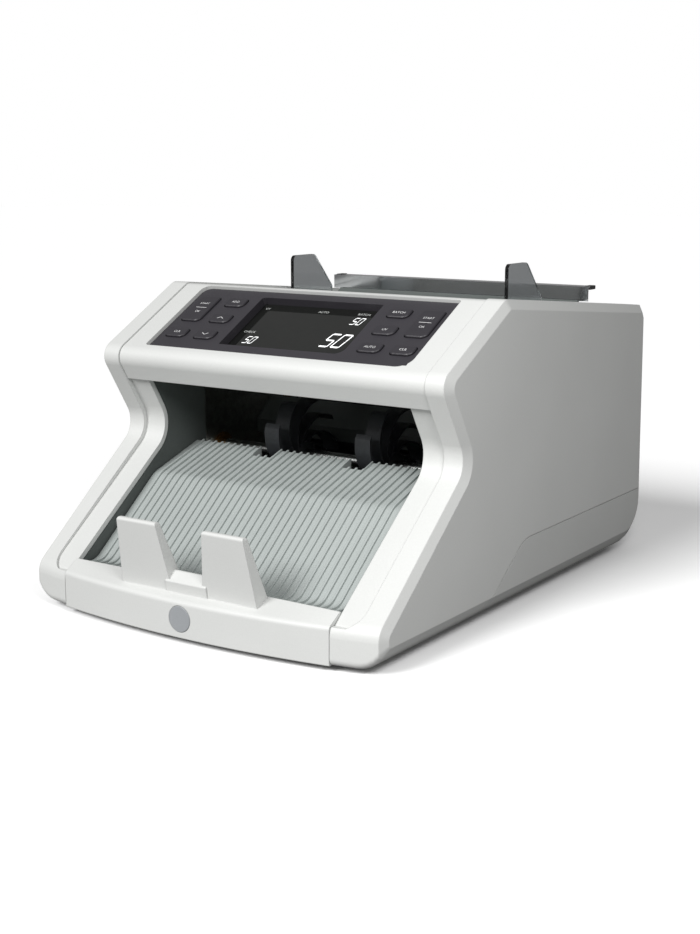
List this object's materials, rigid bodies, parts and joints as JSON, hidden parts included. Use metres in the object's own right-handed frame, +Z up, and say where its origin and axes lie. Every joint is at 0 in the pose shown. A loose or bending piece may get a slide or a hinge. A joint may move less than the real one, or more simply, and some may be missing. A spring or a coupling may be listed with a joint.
{
  "type": "banknote counting machine",
  "caption": "Table-top banknote counter with a rear top hopper, a sloping control panel with display and keys, and an open ribbed stacking tray with two stops.",
  "frame": {"origin": "centre of the footprint's box, on the surface that the feet stand on", "axes": "+X to the machine's right as its user faces it, +Y to the rear, +Z up"},
  "size_m": [0.25, 0.3452, 0.1995],
  "materials": {
    "shell_white": "fine texture",
    "shell_grey": "fine texture",
    "badge_grey": "satin",
    "panel_dark": "satin",
    "key_dark": "satin",
    "smoked_window": "polished",
    "display_glass": "polished",
    "board_green": "solder mask",
    "tray_grey": "satin",
    "inner_grey": "matte",
    "polished_steel": "polished",
    "clear_guide": "frosted",
    "plated_steel": "zinc plated",
    "ground_steel": "ground",
    "sintered_bronze": "sintered",
    "roller_rubber": "ground",
    "belt_rubber": "moulded",
    "pulley_plastic": "moulded",
    "vane_plastic": "moulded",
    "motor_can": "satin",
    "black_plastic": "fine texture"
  },
  "bodies": {
    "chassis": {"base_pan": "shell_grey", "left_side_cover": "shell_white", "right_side_cover": "shell_white", "front_plate": "shell_white", "badge_disc": "badge_grey", "console_housing": "shell_white", "control_panel": "panel_dark", "display_window": "smoked_window", "display_module": "display_glass", "keypad_board": "board_green", "stacker_tray": "tray_grey", "inner_cheeks": "inner_grey", "hopper_surround": "shell_grey", "feed_plate": "inner_grey", "backrest_rail": "polished_steel", "right_mechanism_plate": "plated_steel", "left_mechanism_plate": "plated_steel", "shaft_bushes": "sintered_bronze", "retard_bracket": "plated_steel", "retard_shaft": "ground_steel", "retard_rollers": "roller_rubber", "transport_guide": "inner_grey", "main_motor": "motor_can", "drive_belt": "belt_rubber", "pickup_belt": "belt_rubber", "stacker_belt": "belt_rubber", "main_board": "board_green", "power_supply": "board_green", "board_screws": "ground_steel", "rear_panel": "shell_grey", "hinge_pins": "polished_steel", "power_inlet": "black_plastic", "switch_frame": "black_plastic", "rubber_feet": "roller_rubber"},
    "right_guide": {"right_note_guide": "clear_guide"},
    "left_guide": {"left_note_guide": "clear_guide"},
    "feed_spindle": {"feed_shaft": "ground_steel", "feed_rollers": "roller_rubber", "feed_pulleys": "pulley_plastic"},
    "pickup_spindle": {"pickup_shaft": "ground_steel", "pickup_rollers": "roller_rubber", "pickup_pulley": "pulley_plastic"},
    "stacker_spindle": {"stacker_shaft": "ground_steel", "left_stacker_wheel": "vane_plastic", "right_stacker_wheel": "vane_plastic", "stacker_pulley": "pulley_plastic"},
    "motor_spindle": {"motor_pulley": "pulley_plastic"},
    "rear_door": {"rear_cover": "shell_grey"},
    "knob": {"gap_knob": "black_plastic"},
    "rocker": {"power_rocker": "black_plastic"},
    "start_button_left_key": {"start_button_left": "key_dark"},
    "add_button_key": {"add_button": "key_dark"},
    "up_button_key": {"up_button": "key_dark"},
    "down_button_key": {"down_button": "key_dark"},
    "clear_button_left_key": {"clear_button_left": "key_dark"},
    "start_button_right_key": {"start_button_right": "key_dark"},
    "batch_button_key": {"batch_button": "key_dark"},
    "uv_button_key": {"uv_button": "key_dark"},
    "auto_button_key": {"auto_button": "key_dark"},
    "clear_button_right_key": {"clear_button_right": "key_dark"}
  },
  "joints": [
    {"name": "start_button_left_press", "type": "slide", "parent": "chassis", "child": "start_button_left_key", "axis": [0, 0.4814, -0.8765], "range_m": [0, 0.0008], "stiffness_N_per_m": 150, "springref_m": -0.0006},
    {"name": "add_button_press", "type": "slide", "parent": "chassis", "child": "add_button_key", "axis": [0, 0.4814, -0.8765], "range_m": [0, 0.0008], "stiffness_N_per_m": 150, "springref_m": -0.0006},
    {"name": "up_button_press", "type": "slide", "parent": "chassis", "child": "up_button_key", "axis": [0, 0.4814, -0.8765], "range_m": [0, 0.0008], "stiffness_N_per_m": 150, "springref_m": -0.0006},
    {"name": "down_button_press", "type": "slide", "parent": "chassis", "child": "down_button_key", "axis": [0, 0.4814, -0.8765], "range_m": [0, 0.0008], "stiffness_N_per_m": 150, "springref_m": -0.0006},
    {"name": "clear_button_left_press", "type": "slide", "parent": "chassis", "child": "clear_button_left_key", "axis": [0, 0.4814, -0.8765], "range_m": [0, 0.0008], "stiffness_N_per_m": 150, "springref_m": -0.0006},
    {"name": "start_button_right_press", "type": "slide", "parent": "chassis", "child": "start_button_right_key", "axis": [0, 0.4814, -0.8765], "range_m": [0, 0.0008], "stiffness_N_per_m": 150, "springref_m": -0.0006},
    {"name": "batch_button_press", "type": "slide", "parent": "chassis", "child": "batch_button_key", "axis": [0, 0.4814, -0.8765], "range_m": [0, 0.0008], "stiffness_N_per_m": 150, "springref_m": -0.0006},
    {"name": "uv_button_press", "type": "slide", "parent": "chassis", "child": "uv_button_key", "axis": [0, 0.4814, -0.8765], "range_m": [0, 0.0008], "stiffness_N_per_m": 150, "springref_m": -0.0006},
    {"name": "auto_button_press", "type": "slide", "parent": "chassis", "child": "auto_button_key", "axis": [0, 0.4814, -0.8765], "range_m": [0, 0.0008], "stiffness_N_per_m": 150, "springref_m": -0.0006},
    {"name": "clear_button_right_press", "type": "slide", "parent": "chassis", "child": "clear_button_right_key", "axis": [0, 0.4814, -0.8765], "range_m": [0, 0.0008], "stiffness_N_per_m": 150, "springref_m": -0.0006},
    {"name": "right_guide_slide", "type": "slide", "parent": "chassis", "child": "right_guide", "axis": [1, 0, 0], "range_m": [-0.034, 0.007]},
    {"name": "left_guide_slide", "type": "slide", "parent": "chassis", "child": "left_guide", "axis": [-1, 0, 0], "range_m": [-0.034, 0.007]},
    {"name": "feed_turn", "type": "hinge", "parent": "chassis", "child": "feed_spindle", "pos_m": [0, 0.06312, 0.10034], "axis": [1, 0, 0], "continuous": true},
    {"name": "pickup_turn", "type": "hinge", "parent": "chassis", "child": "pickup_spindle", "pos_m": [0, 0.09055, 0.12988], "axis": [1, 0, 0], "continuous": true},
    {"name": "stacker_turn", "type": "hinge", "parent": "chassis", "child": "stacker_spindle", "pos_m": [0, -0.01233, 0.0775], "axis": [1, 0, 0], "continuous": true},
    {"name": "motor_turn", "type": "hinge", "parent": "chassis", "child": "motor_spindle", "pos_m": [0, 0.09767, 0.0515], "axis": [1, 0, 0], "continuous": true},
    {"name": "rear_door_hinge", "type": "hinge", "parent": "chassis", "child": "rear_door", "pos_m": [0, 0.16614, 0.07537], "axis": [1, 0, 0], "range_deg": [-95, 0]},
    {"name": "gap_knob_turn", "type": "hinge", "parent": "chassis", "child": "knob", "pos_m": [0, 0.14767, 0.16929], "axis": [0, 0, 1], "range_deg": [-150, 150]},
    {"name": "power_rocker_tilt", "type": "hinge", "parent": "chassis", "child": "rocker", "pos_m": [-0.022, 0.16207, 0.05724], "axis": [1, 0, 0], "range_deg": [0, 16]}
  ],
  "couplings": [
    {"joint": "pickup_turn", "follows": "feed_turn", "ratio": 1},
    {"joint": "stacker_turn", "follows": "feed_turn", "ratio": 0.5},
    {"joint": "motor_turn", "follows": "feed_turn", "ratio": 2}
  ]
}
